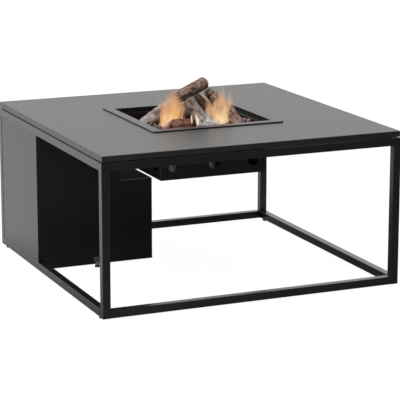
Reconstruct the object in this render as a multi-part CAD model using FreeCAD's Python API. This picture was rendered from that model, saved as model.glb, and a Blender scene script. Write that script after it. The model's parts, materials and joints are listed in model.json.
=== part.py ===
import FreeCAD
import Part

import math
import os

V = FreeCAD.Vector

# Square gas fire table: an open frame of square tube, a folded sheet top, a square burner let
# into its middle with a ceramic log set on a grate, and a gas-bottle cabinet at the back left.
# Frame of the part: +Z up, +X to the right along the front, +Y to the back, millimetres.
# Origin: on the floor, at the middle of the footprint.

# ---- overall
table_width = 1000.0        # X, outer faces of the frame
table_depth = 1000.0        # Y, outer faces of the frame
table_height = 502.0        # floor to the top's upper face

# ---- frame
tube = 25.0                 # outside of the square tube
tube_wall = 2.0
tube_radius = 1.5           # outer corner radius of the tube
drain_radius = 2.0
foot_proud = 7.0            # floor to the underside of the bottom rails
foot_radius = 10.0
foot_inset = 42.0           # a foot's centre from the front or back face
foot_stud_radius = 4.0
foot_stud_length = 14.0
foot_boss_radius = 6.5
foot_boss_length = 15.0
run_clear = 0.05            # radial clearance of every shaft in its hole

# ---- table top
top_edge = 18.0             # height of the folded edge
top_sheet = 2.0
top_inset = 2.0             # the top is this much smaller than the frame, each side
top_return = 20.0           # width of the fold under the edge
shadow_gap = 3.0            # frame to the top's edge
pad_radius = 7.0
bar_height = 14.0           # stiffening channels under the top
bar_width = 20.0
sheet = 1.5                 # every other pressed sheet

# ---- burner tray and housing
pan_half = 180.0            # half of the pan's inside
ledge_width = 15.0
flange_width = 30.0
flange_rise = 4.0           # flange above the table top
ledge_drop = 12.0           # ledge below the table top
pan_drop = 80.0             # pan floor below the table top
tray_radius = 3.0
cutout_clear = 3.5          # table cut-out around the tray's wall
housing_clear = 1.0         # around the pan
housing_drop = 165.0        # housing floor below the table top
vent_radius = 19.0
vent_edge = 46.0            # housing side to the outer vents' centres
vent_rise = 43.0            # vent centre above the housing floor
stud_radius = 2.5
stud_length = 9.0
stud_edge = 74.0            # housing side to a stud
nut_flats = 8.0
nut_height = 4.0

# ---- burner
burner_radius = 9.0
burner_wall = 1.2
burner_side = 105.0         # pan wall to the burner's long tubes
burner_end = 75.0           # pan wall to their ends
burner_rise = 14.0          # tube axis above the pan floor
port_radius = 1.2
mixer_length = 44.0
injector_radius = 4.9
pipe_radius = 4.0
pipe_wall = 1.0
pipe_bend = 14.0
pipe_rise = 13.0            # pipe above the housing floor
pipe_in = 18.0              # pipe behind the cabinet's front panel
nut_long = 10.0

# ---- grate, rocks and logs
grate_clear = 15.0          # pan wall to the grate
grate_bar_radius = 3.5
grate_rod_radius = 4.0      # the two rods that carry the bars
grate_leg_radius = 4.5
grate_bars = 12
grate_rise = 39.5           # top of the grate above the pan floor
rock_size = 25.0
rock_pitch = 32.5
seat = 0.3                  # loose pieces lie this far from what carries them

# ---- cabinet
cabinet_width = 401.5       # from the frame's left face
cabinet_overlap = 77.0      # front panel in from the housing's back face
cabinet_inset = 1.0         # left panel behind the frame's face
step_clear = 29.5           # step wall to the burner housing
duct_gap = 55.0             # step shelf to the housing floor
hem_height = 8.0
hem_thick = 1.0
fit_gap = 0.3
rear_recess = 1.0           # rear face in front of the back rails
fascia_height = 70.0        # seen height of the control fascia
door_gap = 2.0
door_sheet = 2.0
door_return = 12.0
door_return_end = 20.0      # the returns stop this far from the door's free edge
hinge_pin_radius = 2.0
hinge_radius = 3.2
hinge_length = 36.0
hinge_margin = 40.0         # hinge centre from the door's top or bottom

# ---- controls
knob_radius = 21.0
knob_depth = 17.0
push_travel = 4.0
push_room = 5.0
spindle_radius = 3.0
valve_size = 36.0
button_radius = 8.0
button_pitch = 60.0         # knob's axis to the button's
nozzle_radius = 4.5
nozzle_length = 22.0
neck_radius = 7.0
neck_out = 0.5
bore_deep = 14.0
grip_wide = 9.0
grip_deep = 9.0
cup_radius = 11.0
cup_long = 3.0

# ---- levels and faces that pieces share
opening_half = pan_half + ledge_width
flange_half = opening_half + flange_width
housing_half = pan_half + 2 * sheet + housing_clear
vent_pitch = housing_half - vent_edge
stud_pitch = housing_half - stud_edge
burner_half_x = pan_half - burner_side
burner_half_y = pan_half - burner_end
grate_half = pan_half - grate_clear
half_x = table_width / 2
half_y = table_depth / 2
z_frame = foot_proud
z_edge = table_height - top_edge
z_rail_top = z_edge - shadow_gap
z_rail_bottom = z_frame + tube          # top face of the bottom rails
z_rail_under = z_rail_top - tube        # underside of the top rails
z_ledge = table_height - ledge_drop
z_pan = table_height - pan_drop         # upper face of the pan floor
z_housing = table_height - housing_drop
z_flange = z_ledge - sheet              # underside of the ledge
z_grate = z_pan + grate_rise
wall_half = opening_half + sheet
stud_line = (housing_half + wall_half) / 2
cut_half = wall_half + cutout_clear

cab_left = -half_x + cabinet_inset
cab_right = -half_x + cabinet_width
cab_front = housing_half - cabinet_overlap
cab_rear = half_y - tube - rear_recess
cab_in_left = -half_x + tube + fit_gap  # beside the left rails
step_x = -(housing_half + step_clear)
z_step = z_housing - duct_gap
z_fascia = z_rail_under - fascia_height


def box(x0, x1, y0, y1, z0, z1):
    return Part.makeBox(x1 - x0, y1 - y0, z1 - z0, V(x0, y0, z0))


def rod(radius, length, at, axis=V(0, 0, 1)):
    return Part.makeCylinder(radius, length, at, axis)


def rounded(half_a, half_b, z0, z1, radius):
    """A block centred on the Z axis with its upright edges rounded."""
    block = box(-half_a, half_a, -half_b, half_b, z0, z1)
    if radius <= 0:
        return block
    upright = [e for e in block.Edges if abs(e.Vertexes[0].X - e.Vertexes[1].X) < 1e-6
               and abs(e.Vertexes[0].Y - e.Vertexes[1].Y) < 1e-6]
    return block.makeFillet(radius, upright)


def edges_along(shape, axis, test=lambda e: True):
    """The straight edges of a shape that run along one axis."""
    found = []
    for e in shape.Edges:
        if not isinstance(e.Curve, Part.Line):
            continue
        d = e.Vertexes[1].Point - e.Vertexes[0].Point
        d.normalize()
        if abs(abs(d.dot(axis)) - 1) < 1e-6 and test(e):
            found.append(e)
    return found


def joined(shapes):
    whole = shapes[0].fuse(shapes[1:]) if len(shapes) > 1 else shapes[0]
    return whole.removeSplitter()


def cut(shape, tools):
    return shape.cut(tools) if tools else shape


def prism(points, axis, depth):
    """A closed outline of points, extruded by depth along axis."""
    wire = Part.makePolygon(points + [points[0]])
    return Part.Face(wire).extrude(V(axis) * depth)


def hexagon(flats, height, at, axis=V(0, 0, 1)):
    """A six-sided prism standing on a point, along an axis."""
    side = flats / math.sqrt(3)
    points = [V(side * math.cos(math.radians(60 * i)), side * math.sin(math.radians(60 * i)), 0)
              for i in range(6)]
    body = prism(points, V(0, 0, 1), height)
    body.Placement = FreeCAD.Placement(at, FreeCAD.Rotation(V(0, 0, 1), axis))
    return body


def save(name, solids):
    """One file for one node, with one or more separate solids."""
    shape = solids if isinstance(solids, Part.Shape) else Part.Compound(solids)
    if len(shape.Solids) == 1:
        shape = shape.Solids[0]
    shape.exportStep("parts/" + name + ".step")


os.makedirs("parts", exist_ok=True)


# ---- frame: twelve lengths of square tube, welded

def square_tube(x0, x1, y0, y1, z0, z1, axis, capped):
    """A length of square tube along an axis; capped lengths keep a wall at both ends."""
    outer = box(x0, x1, y0, y1, z0, z1)
    outer = outer.makeFillet(tube_radius, edges_along(outer, axis))
    end = tube_wall if capped else -1.0
    margin = V(1, 1, 1) * tube_wall + axis * (end - tube_wall)
    inner = box(x0 + margin.x, x1 - margin.x, y0 + margin.y, y1 - margin.y,
                z0 + margin.z, z1 - margin.z)
    return outer.cut(inner)


inner_x = half_x - tube
inner_y = half_y - tube
foot_y = half_y - foot_inset
foot_x = half_x - tube / 2

for fb, sy in (("front", -1), ("back", 1)):
    for lr, sx in (("left", -1), ("right", 1)):
        xs = sorted((sx * half_x, sx * inner_x))
        ys = sorted((sy * half_y, sy * inner_y))
        leg = square_tube(xs[0], xs[1], ys[0], ys[1], z_frame, z_rail_top, V(0, 0, 1), True)
        leg = leg.cut(rod(drain_radius, tube_wall * 2,
                          V(sx * foot_x, sy * (half_y - tube / 2), z_frame - tube_wall / 2)))
        save("leg_%s_%s" % (fb, lr), leg)

        # one-piece levelling foot: a tapered pad with its threaded stud
        at = V(sx * foot_x, sy * foot_y, 0)
        pad_height = foot_proud - fit_gap
        pad = Part.makeCone(foot_radius, foot_radius - 1.5, pad_height, at)
        stud = rod(foot_stud_radius, pad_height + foot_stud_length, at)
        save("foot_%s_%s" % (fb, lr), joined([pad, stud]))

for level, z0 in (("bottom", z_frame), ("top", z_rail_under)):
    for side, sy in (("front", -1), ("back", 1)):
        ys = sorted((sy * half_y, sy * inner_y))
        rail = square_tube(-inner_x, inner_x, ys[0], ys[1], z0, z0 + tube, V(1, 0, 0), False)
        save("%s_rail_%s" % (level, side), rail)
    for side, sx in (("left", -1), ("right", 1)):
        xs = sorted((sx * half_x, sx * inner_x))
        rail = square_tube(xs[0], xs[1], -inner_y, inner_y, z0, z0 + tube, V(0, 1, 0), False)
        if level == "bottom":
            # each side rail holds two threaded bosses for the feet
            for sy in (-1, 1):
                at = V(sx * foot_x, sy * foot_y, z_frame)
                bore = rod(foot_stud_radius + run_clear, foot_boss_length + 1,
                           at - V(0, 0, 1))
                rail = rail.fuse(rod(foot_boss_radius, foot_boss_length, at)).cut(bore)
        save("%s_rail_%s" % (level, side), rail)


# ---- table top: one folded sheet with a square cut-out

top_x = half_x - top_inset
top_y = half_y - top_inset
top = rounded(top_x, top_y, z_edge, table_height, 2.0)
rim = [e for e in top.Edges if e.BoundBox.ZMin > table_height - 1e-3]
top = top.makeFillet(top_sheet, rim)
top = cut(top, [box(-top_x + top_sheet, top_x - top_sheet, -top_y + top_sheet, top_y - top_sheet,
                    z_edge + top_sheet, table_height - top_sheet),
                box(-top_x + top_return, top_x - top_return, -top_y + top_return,
                    top_y - top_return, z_edge - 1, z_edge + top_sheet + 1),
                box(-cut_half, cut_half, -cut_half, cut_half, z_edge, table_height + 1)])
save("table_top", top)

# pads that hold the top off the frame
pads = []
for sx in (-1, 1):
    for part_way in (-0.5, 0.5):
        pads.append(rod(pad_radius, shadow_gap, V(sx * foot_x, part_way * table_depth * 0.8, z_rail_top)))
        pads.append(rod(pad_radius, shadow_gap,
                        V(part_way * table_width * 0.8, sx * (half_y - tube / 2), z_rail_top)))
save("top_pads", pads)


def channel(x0, x1, y0, y1, along_x):
    """A folded channel, open downwards, against the underside of the top."""
    z1 = table_height - top_sheet
    z0 = z1 - bar_height
    outer = box(x0, x1, y0, y1, z0, z1)
    if along_x:
        return outer.cut(box(x0 - 1, x1 + 1, y0 + sheet, y1 - sheet, z0 - 1, z1 - sheet))
    return outer.cut(box(x0 + sheet, x1 - sheet, y0 - 1, y1 + 1, z0 - 1, z1 - sheet))


bar_in = flange_half - 8.0
bar_out = bar_in + bar_width
bar_x = top_x - top_return - 2.0
save("top_stiffeners", [
    channel(-bar_x, bar_x, bar_in, bar_out, True),
    channel(-bar_x, bar_x, -bar_out, -bar_in, True),
    channel(bar_in, bar_out, -bar_in + 1, bar_in - 1, False),
    channel(-bar_out, -bar_in, -bar_in + 1, bar_in - 1, False)])


# ---- burner tray: flange, wall, ledge and pan pressed from one sheet

z_rim = table_height + flange_rise
pan_out = pan_half + sheet
tray = joined([rounded(flange_half, flange_half, table_height, z_rim, tray_radius),
               rounded(wall_half, wall_half, z_flange, z_rim, tray_radius + sheet),
               rounded(pan_out, pan_out, z_pan - sheet, z_ledge, tray_radius + sheet)])
lip_hollow = rounded(flange_half - sheet, flange_half - sheet, table_height - 1, z_rim - sheet,
                     tray_radius)
lip_hollow = lip_hollow.cut(rounded(wall_half, wall_half, table_height - 2, z_rim,
                                    tray_radius + sheet))
tray = cut(tray, [lip_hollow,
                  rounded(opening_half, opening_half, z_ledge, z_rim + 1, tray_radius),
                  rounded(pan_half, pan_half, z_pan, z_ledge + 1, tray_radius)])
rim = [e for e in tray.Edges if e.BoundBox.ZMin > z_rim - 1e-3
       and max(abs(e.BoundBox.XMax), abs(e.BoundBox.XMin), abs(e.BoundBox.YMax),
               abs(e.BoundBox.YMin)) > flange_half - 1]
tray = tray.makeFillet(sheet * 0.6, rim)

stud_places = []
for s in (-1, 1):
    for p in (-1, 1):
        stud_places += [V(s * stud_line, p * stud_pitch, z_flange),
                        V(p * stud_pitch, s * stud_line, z_flange)]
tray = joined([tray] + [rod(stud_radius, stud_length + 0.5, at - V(0, 0, stud_length))
                        for at in stud_places])

mixer_radius = burner_radius
mixer_hole = mixer_radius + 1.0
pilot_x = burner_half_x / 2
pilot_y = -burner_radius - 16.0
lead_radius = 4.0
tray = cut(tray, [rod(mixer_hole, sheet * 3, V(0, 0, z_pan - sheet * 2)),
                  rod(lead_radius + 0.5, sheet * 3, V(pilot_x - 10, pilot_y, z_pan - sheet * 2)),
                  rod(lead_radius + 0.5, sheet * 3, V(pilot_x + 10, pilot_y, z_pan - sheet * 2))])
save("burner_tray", tray)


# ---- burner housing: an open box with vent holes, hung under the ledge

pipe_z = z_housing + pipe_rise
pipe_y = cab_front + pipe_in
housing = joined([rounded(housing_half, housing_half, z_housing, z_flange, tray_radius),
                  rounded(wall_half, wall_half, z_flange - sheet, z_flange, tray_radius)])
housing = housing.cut(rounded(housing_half - sheet, housing_half - sheet, z_housing + sheet,
                              z_flange + 1, tray_radius - sheet / 2))
vents = []
for s in (-1, 0, 1):
    across = 2 * housing_half + 20
    z = z_housing + vent_rise
    vents.append(rod(vent_radius, across, V(s * vent_pitch, -across / 2, z), V(0, 1, 0)))
    vents.append(rod(vent_radius, across, V(-across / 2, s * vent_pitch, z), V(1, 0, 0)))
for sx in (-1, 1):
    for sy in (-1, 1):
        vents.append(rod(vent_radius / 2, sheet * 3,
                         V(sx * vent_pitch, sy * vent_pitch, z_housing - sheet)))
holes = [rod(stud_radius + 0.3, sheet * 4, at - V(0, 0, sheet * 2)) for at in stud_places]
pipe_hole = rod(pipe_radius + fit_gap, 40, V(-housing_half - 20, pipe_y, pipe_z), V(1, 0, 0))
housing = cut(housing, vents + holes + [pipe_hole])
save("burner_housing", housing)

nuts = []
for at in stud_places:
    low = at - V(0, 0, sheet + nut_height)
    nuts.append(hexagon(nut_flats, nut_height, low).cut(
        rod(stud_radius + run_clear, nut_height + 2, low - V(0, 0, 1))))
save("housing_nuts", nuts)


# ---- burner: an H of tube on four feet, with its mixing tube down through the pan

z_burner = z_pan + burner_rise
z_mixer = z_burner - mixer_length
solid, hollow, feet, ports = [], [], [], []
r_in = burner_radius - burner_wall
for sx in (-1, 1):
    x = sx * burner_half_x
    solid.append(rod(burner_radius, 2 * burner_half_y, V(x, -burner_half_y, z_burner), V(0, 1, 0)))
    hollow.append(rod(r_in, 2 * (burner_half_y - burner_wall),
                      V(x, -burner_half_y + burner_wall, z_burner), V(0, 1, 0)))
    for sy in (-1, 1):
        y = sy * (burner_half_y - 12)
        feet.append(box(x - 5, x + 5, y - 4, y + 4, z_pan, z_burner - r_in - burner_wall / 2))
    for i in range(9):
        y = (i - 4) * burner_half_y / 5
        ports.append(rod(port_radius, burner_radius + 2, V(x, y, z_burner)))
solid.append(rod(burner_radius, 2 * burner_half_x, V(-burner_half_x, 0, z_burner), V(1, 0, 0)))
hollow.append(rod(r_in, 2 * burner_half_x, V(-burner_half_x, 0, z_burner), V(1, 0, 0)))
for i in range(5):
    ports.append(rod(port_radius, burner_radius + 2, V((i - 2) * burner_half_x / 3, 0, z_burner)))
solid.append(rod(mixer_radius, mixer_length, V(0, 0, z_mixer)))
hollow.append(rod(r_in, mixer_length - 2, V(0, 0, z_mixer + 2)))
air = [rod(3.0, 4 * mixer_radius, V(-2 * mixer_radius, 0, z_mixer + 9), V(1, 0, 0)),
       rod(3.0, 4 * mixer_radius, V(0, -2 * mixer_radius, z_mixer + 9), V(0, 1, 0))]
burner = joined(solid + feet)
burner = cut(burner, hollow + ports + air
             + [rod(injector_radius + run_clear, 6, V(0, 0, z_mixer - 2))])
save("burner_tube", burner)

z_injector = pipe_z + pipe_bend + nut_long + 1.0
injector = joined([hexagon(14.0, z_mixer - z_injector, V(0, 0, z_injector)),
                   rod(injector_radius, z_mixer - z_injector + 6, V(0, 0, z_injector))])
injector = injector.cut(rod(pipe_radius - pipe_wall, z_mixer - z_injector + 20,
                            V(0, 0, z_injector - 1)))
save("injector", injector)


# ---- controls behind the rear fascia

knob_x = (cab_in_left + step_x) / 2
button_x = knob_x - button_pitch
z_knob = (z_fascia + z_rail_under) / 2
valve_y1 = cab_rear - sheet             # valve flange against the fascia's inner face
valve_y0 = valve_y1 - valve_size

# gas pipe: out of the valve's side, down, forwards along the step wall, through it into the
# housing and up to the injector, in straight runs joined by bends
pipe_x = step_x - sheet - pipe_bend - 1.0
valve_mid = valve_y1 - valve_size / 2
route = [V(knob_x + valve_size / 2, valve_mid, z_knob),
         V(pipe_x, valve_mid, z_knob),
         V(pipe_x, valve_mid, pipe_z),
         V(pipe_x, pipe_y, pipe_z),
         V(0, pipe_y, pipe_z),
         V(0, 0, pipe_z),
         V(0, 0, z_injector)]


def unit(a, b):
    d = b - a
    return d * (1.0 / d.Length)


def bent_tube(points, bend, radius, wall):
    """A tube along square-cornered runs, with an arc of the bend's radius at each corner."""
    edges = []
    start = points[0]
    for before, corner, after in zip(points, points[1:], points[2:]):
        a, b = unit(corner, before), unit(corner, after)
        enter, leave = corner + a * bend, corner + b * bend
        inside = corner + (a + b) * (bend * (1 - math.sqrt(0.5)))
        edges.append(Part.makeLine(start, enter))
        edges.append(Part.Arc(enter, inside, leave).toShape())
        start = leave
    edges.append(Part.makeLine(start, points[-1]))
    path = Part.Wire(edges)
    along = unit(points[0], points[1])
    outer, inner = [path.makePipeShell([Part.Wire(Part.makeCircle(r, points[0], along))], True,
                                       False) for r in (radius, radius - wall)]
    return outer.cut(inner)


save("gas_pipe", bent_tube(route, pipe_bend, pipe_radius, pipe_wall))

# brass nuts at the pipe's two ends
end_nuts = []
for at, axis in ((route[0], V(1, 0, 0)), (route[-1] - V(0, 0, nut_long), V(0, 0, 1))):
    nut = hexagon(13.0, nut_long, at, axis)
    end_nuts.append(nut.cut(rod(pipe_radius + run_clear, nut_long + 2, at - axis, axis)))
save("pipe_nuts", end_nuts)

# gas valve: body with a neck through the fascia, and an outlet for the pipe
valve_half = valve_size / 2
y_axis = V(0, 1, 0)
valve = joined([box(knob_x - valve_half, knob_x + valve_half, valve_y0, valve_y1,
                    z_knob - valve_half, z_knob + valve_half * 0.6),
                rod(neck_radius, sheet + neck_out + 2, V(knob_x, valve_y1 - 2, z_knob), y_axis)])
valve = valve.cut(rod(spindle_radius + run_clear, bore_deep + 10,
                      V(knob_x, cab_rear + neck_out - bore_deep, z_knob), y_axis))
save("gas_valve", valve)

# inlet nozzle, pointing down for the hose
nozzle_top = z_knob - valve_half
nozzle_x = knob_x - valve_half / 3
nozzle_hex = 8.0
nozzle_end = nozzle_top - nozzle_hex - nozzle_length
nozzle = joined([hexagon(15.0, nozzle_hex, V(nozzle_x, valve_mid, nozzle_top - nozzle_hex)),
                 rod(nozzle_radius, nozzle_length + 1, V(nozzle_x, valve_mid, nozzle_end))])
nozzle = nozzle.cut(rod(nozzle_radius - 1.8, nozzle_length + 4, V(nozzle_x, valve_mid,
                                                                  nozzle_end - 1)))
save("hose_nozzle", nozzle)

# knob with its spindle, over a sprung cup that moves in with it
knob_y0 = cab_rear + push_room
knob_y1 = knob_y0 + knob_depth
spindle_in = bore_deep - neck_out - push_travel - 2.0
knob = joined([Part.makeCone(knob_radius, knob_radius - 2.5, knob_depth,
                             V(knob_x, knob_y0, z_knob), y_axis),
               rod(spindle_radius, push_room + spindle_in + 2,
                   V(knob_x, cab_rear - spindle_in, z_knob), y_axis)])
for s in (-1, 1):
    xs = sorted((knob_x + s * grip_wide / 2, knob_x + s * 2 * knob_radius))
    knob = knob.cut(box(xs[0], xs[1], knob_y1 - grip_deep, knob_y1 + 1,
                        z_knob - 2 * knob_radius, z_knob + 2 * knob_radius))
cup_y0 = knob_y0 + 0.5
recess = rod(cup_radius + fit_gap, cup_long + 0.5 + fit_gap, V(knob_x, knob_y0, z_knob), y_axis)
recess = recess.cut(rod(spindle_radius, 60, V(knob_x, knob_y0 - 20, z_knob), y_axis))
save("control_knob", knob.cut(recess))
cup = rod(cup_radius, cup_long, V(knob_x, cup_y0, z_knob), y_axis)
save("knob_cup", cup.cut(rod(spindle_radius + run_clear, 30, V(knob_x, cup_y0 - 10, z_knob),
                             y_axis)))

# igniter: body behind the fascia with a collar in front, and its button
igniter_radius = button_radius + 2.0
collar_radius = button_radius + 3.5
igniter = joined([rod(igniter_radius, 37.0, V(button_x, cab_rear - 34.0, z_knob), y_axis),
                  rod(collar_radius, 3.0, V(button_x, cab_rear, z_knob), y_axis),
                  rod(collar_radius, 4.0, V(button_x, cab_rear - sheet - 4.0, z_knob), y_axis)])
save("igniter_body", igniter.cut(rod(button_radius + run_clear, 30,
                                     V(button_x, cab_rear - 16.0, z_knob), y_axis)))
button = rod(button_radius, 20.0, V(button_x, cab_rear - 11.0, z_knob), y_axis)
button = button.makeFillet(1.2, [e for e in button.Edges if e.BoundBox.YMin > cab_rear + 8.9])
save("igniter_button", button)

# pilot: a bent bracket on the pan floor with an electrode and a thermocouple
pilot_y1 = pilot_y + 6.0
shelf_z = z_pan + 12.0
bracket = joined([box(pilot_x - 17, pilot_x + 17, pilot_y1, pilot_y1 + sheet, z_pan, shelf_z),
                  box(pilot_x - 17, pilot_x + 17, pilot_y - 6, pilot_y1 + sheet, shelf_z,
                      shelf_z + sheet)])
bracket = cut(bracket, [rod(lead_radius + run_clear, 10, V(pilot_x + dx, pilot_y, shelf_z - 4))
                        for dx in (-10, 10)])
save("pilot_bracket", bracket)
probe_low = z_pan - 22.0
electrode = joined([rod(lead_radius, shelf_z + 4 - probe_low, V(pilot_x - 10, pilot_y, probe_low)),
                    rod(1.0, shelf_z + 12 - probe_low, V(pilot_x - 10, pilot_y, probe_low))])
save("electrode", electrode)
thermocouple = joined([rod(lead_radius, shelf_z + 3 - probe_low,
                           V(pilot_x + 10, pilot_y, probe_low)),
                       rod(2.2, shelf_z + 14 - probe_low, V(pilot_x + 10, pilot_y, probe_low))])
save("thermocouple", thermocouple)


# ---- log grate: round bars between two thicker rods, on four legs

grate_line = grate_half - grate_rod_radius
z_bars = z_grate - grate_bar_radius
bar_pitch = 2 * grate_line / (grate_bars - 1)
bars = [rod(grate_bar_radius, 2 * grate_line, V(-grate_line + n * bar_pitch, -grate_line, z_bars),
            V(0, 1, 0)) for n in range(grate_bars)]
grate_legs = []
for s in (-1, 1):
    bars.append(rod(grate_rod_radius, 2 * grate_half, V(-grate_half, s * grate_line, z_bars),
                    V(1, 0, 0)))
    for p in (-1, 1):
        grate_legs.append(rod(grate_leg_radius, z_bars - grate_rod_radius - z_pan,
                              V(p * grate_line, s * grate_line, z_pan)))
save("log_grate", joined(bars))
save("grate_legs", grate_legs)


# ---- rocks and embers: chips with flat faces

def chip(size, at, turn):
    """A rough lump: blocks turned different ways and cut to what they share, flat below."""
    lump = None
    for n, axis in enumerate((V(0, 0, 1), V(1, 0.3, 0), V(0.2, 1, 0.4))):
        k = size * (1.0, 0.98, 0.92)[n]
        block = box(-k / 2, k / 2, -k / 2, k / 2, -k / 2, k / 2)
        block.rotate(V(0, 0, 0), axis, turn + 40 * n)
        lump = block if lump is None else lump.common(block)
    lump = lump.common(box(-size, size, -size, size, -size * 0.38, size))
    lump.translate(V(at.x, at.y, at.z + size * 0.38))
    return lump


rock_line = grate_line - 3.0
rock_count = int(2 * (rock_line - rock_pitch) / rock_pitch) + 1
rocks = []
for n in range(rock_count):
    along = (n - (rock_count - 1) / 2) * rock_pitch
    for k, (x, y) in enumerate(((along, -rock_line), (along, rock_line), (-rock_line, along),
                                (rock_line, along))):
        rocks.append(chip(rock_size, V(x, y, z_pan), 31.0 * n + 67.0 * k))
save("lava_rocks", rocks)


# ---- logs: cast ceramic, each a round bar with domed ends

log_unit = pan_half / 180.0     # the set is made to fill the pan


def clearance(a, b):
    """Surface to surface distance of two logs, each given as (foot, head, radius)."""
    line_a, line_b = Part.makeLine(a[0], a[1]), Part.makeLine(b[0], b[1])
    return line_a.distToShape(line_b)[0] - a[2] - b[2]


def log_at(radius, foot, head):
    """A log from plan positions and rises above the grate, both in the set's units."""
    points = []
    for x, y, rise in (foot, head):
        points.append(V(x * log_unit, y * log_unit,
                        z_grate + seat + radius * log_unit + rise * log_unit))
    return [points[0], points[1], radius * log_unit]


def lean(log, others, way, ends=(1,)):
    """Move some ends of a log one way until it lies a seat's gap from another log."""
    low, high = 0.0, 120.0 * log_unit
    way = unit(V(0, 0, 0), way)
    here = [V(p) for p in log[:2]]

    def moved(step):
        return [here[k] + way * step if k in ends else here[k] for k in (0, 1)] + [log[2]]

    reach = low
    while reach < high and min(clearance(moved(reach), o) for o in others) > seat:
        reach += 2.0
    low, high = reach - 2.0, reach
    for _ in range(24):
        mid = (low + high) / 2
        if min(clearance(moved(mid), o) for o in others) > seat:
            low = mid
        else:
            high = mid
    return moved(low)


rails = [[V(-grate_line + n * bar_pitch, -grate_line, z_bars),
          V(-grate_line + n * bar_pitch, grate_line, z_bars), grate_bar_radius]
         for n in range(grate_bars)]


def rested(log, ends=(0,)):
    """Lower a log's foot, or both its ends, until it lies a seat's gap from a bar."""
    return lean(log, rails, V(0, 0, -1), ends)


left = rested(log_at(22, (-158, 10, 0), (-72, 12, 54)))
centre = rested(log_at(23, (14, -118, 0), (-11, -27, 59)))
rear = rested(log_at(22, (-66, 112, 0), (92, 132, 0)), (0, 1))
dark = lean(rested(log_at(20, (92, -20, 0), (50, 4, 68))), [centre], V(-1, -0.2, 0))
right = rested(log_at(21, (132, -66, 0), (94, 10, 66)))
back = lean(rested(log_at(18, (150, 78, 0), (100, 72, 80))), [right, dark], V(-0.5, -0.8, 0))
front = rested(log_at(21, (-104, -50, 0), (-34, -44, 0)), (0, 1))
crown = log_at(22, (-44, -4, 110), (52, 36, 138))
placed = [left, centre, rear, dark, back, right, front]
for ends in ((0, 1), (0,), (1,), (0,)):
    crown = lean(crown, placed, V(0, 0, -1), ends)


def log_solid(log):
    """A round bar with domed ends: half its outline, turned about its axis."""
    foot, head, r = log
    length, k = (head - foot).Length, r * math.sqrt(0.5)
    outline = Part.Wire([
        Part.Arc(V(0, 0, -r), V(k, 0, -k), V(r, 0, 0)).toShape(),
        Part.makeLine(V(r, 0, 0), V(r, 0, length)),
        Part.Arc(V(r, 0, length), V(k, 0, length + k), V(0, 0, length + r)).toShape(),
        Part.makeLine(V(0, 0, length + r), V(0, 0, -r))])
    solid = Part.Face(outline).revolve(V(0, 0, 0), V(0, 0, 1), 360)
    solid.Placement = FreeCAD.Placement(foot, FreeCAD.Rotation(V(0, 0, 1), head - foot))
    return solid


for name, log in (("left", left), ("centre", centre), ("rear", rear), ("dark", dark),
                  ("back", back), ("right", right), ("front", front), ("crown", crown)):
    print("log_" + name, [round(c, 1) for c in tuple(log[0]) + tuple(log[1])], round(log[2], 1))
    save("log_" + name, log_solid(log))

# glowing lumps that lie on the grate's bars, beside the logs: bar, distance back, size
embers = []
for n, (bar, y, size) in enumerate(((0.3, -84, 22), (1, -112, 26), (2, -122, 24), (3, -112, 20),
                                    (4, -128, 22), (9, -116, 24), (10, -128, 22), (1, 44, 24),
                                    (2, 84, 26))):
    x = -grate_line + bar * bar_pitch
    embers.append(chip(size * log_unit, V(x, y * log_unit, z_grate + seat), 37.0 * n))
save("ember_lumps", embers)


# ---- cabinet

# left panel, in the frame's left opening
save("cabinet_left_panel", box(cab_left, cab_left + sheet, cab_front + sheet, inner_y,
                               z_rail_bottom + fit_gap, z_rail_under - fit_gap))

# front panel: steps round the burner housing and the side rails, with a hem at its foot
outline = [V(cab_in_left, cab_front, z_frame), V(cab_right, cab_front, z_frame),
           V(cab_right, cab_front, z_step), V(step_x, cab_front, z_step),
           V(step_x, cab_front, z_rail_top), V(cab_in_left, cab_front, z_rail_top),
           V(cab_in_left, cab_front, z_rail_under - fit_gap),
           V(cab_left, cab_front, z_rail_under - fit_gap),
           V(cab_left, cab_front, z_rail_bottom + fit_gap),
           V(cab_in_left, cab_front, z_rail_bottom + fit_gap)]
hem = box(cab_in_left, cab_right, cab_front - hem_thick, cab_front, z_frame, z_frame + hem_height)
save("cabinet_front_panel", joined([prism(outline, V(0, 1, 0), sheet), hem]))

# side panel of the low part, folded round to close its back
side = joined([box(cab_right - sheet, cab_right, cab_front + sheet, cab_rear, z_frame,
                   z_step - sheet),
               box(step_x, cab_right, cab_rear - sheet, cab_rear, z_frame, z_step - sheet)])
save("cabinet_side_panel", side)

save("cabinet_floor", box(cab_in_left, cab_right - sheet, cab_front + sheet, cab_rear - sheet,
                          z_frame, z_frame + sheet))

# shelf over the low part and the wall that rises from it beside the housing
step = joined([box(step_x - sheet, cab_right, cab_front + sheet, cab_rear, z_step - sheet, z_step),
               box(step_x - sheet, step_x, cab_front + sheet, cab_rear, z_step - sheet,
                   z_rail_top)])
step = step.cut(rod(pipe_radius + fit_gap, 20, V(step_x - 10, pipe_y, pipe_z), V(1, 0, 0)))
save("cabinet_step", step)

# control fascia above the door
fascia = box(cab_in_left, step_x - sheet, cab_rear - sheet, cab_rear, z_fascia, z_rail_top)
save("cabinet_fascia", cut(fascia, [
    rod(neck_radius + fit_gap, 10, V(knob_x, cab_rear - 5, z_knob), y_axis),
    rod(igniter_radius + fit_gap, 10, V(button_x, cab_rear - 5, z_knob), y_axis)]))

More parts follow.
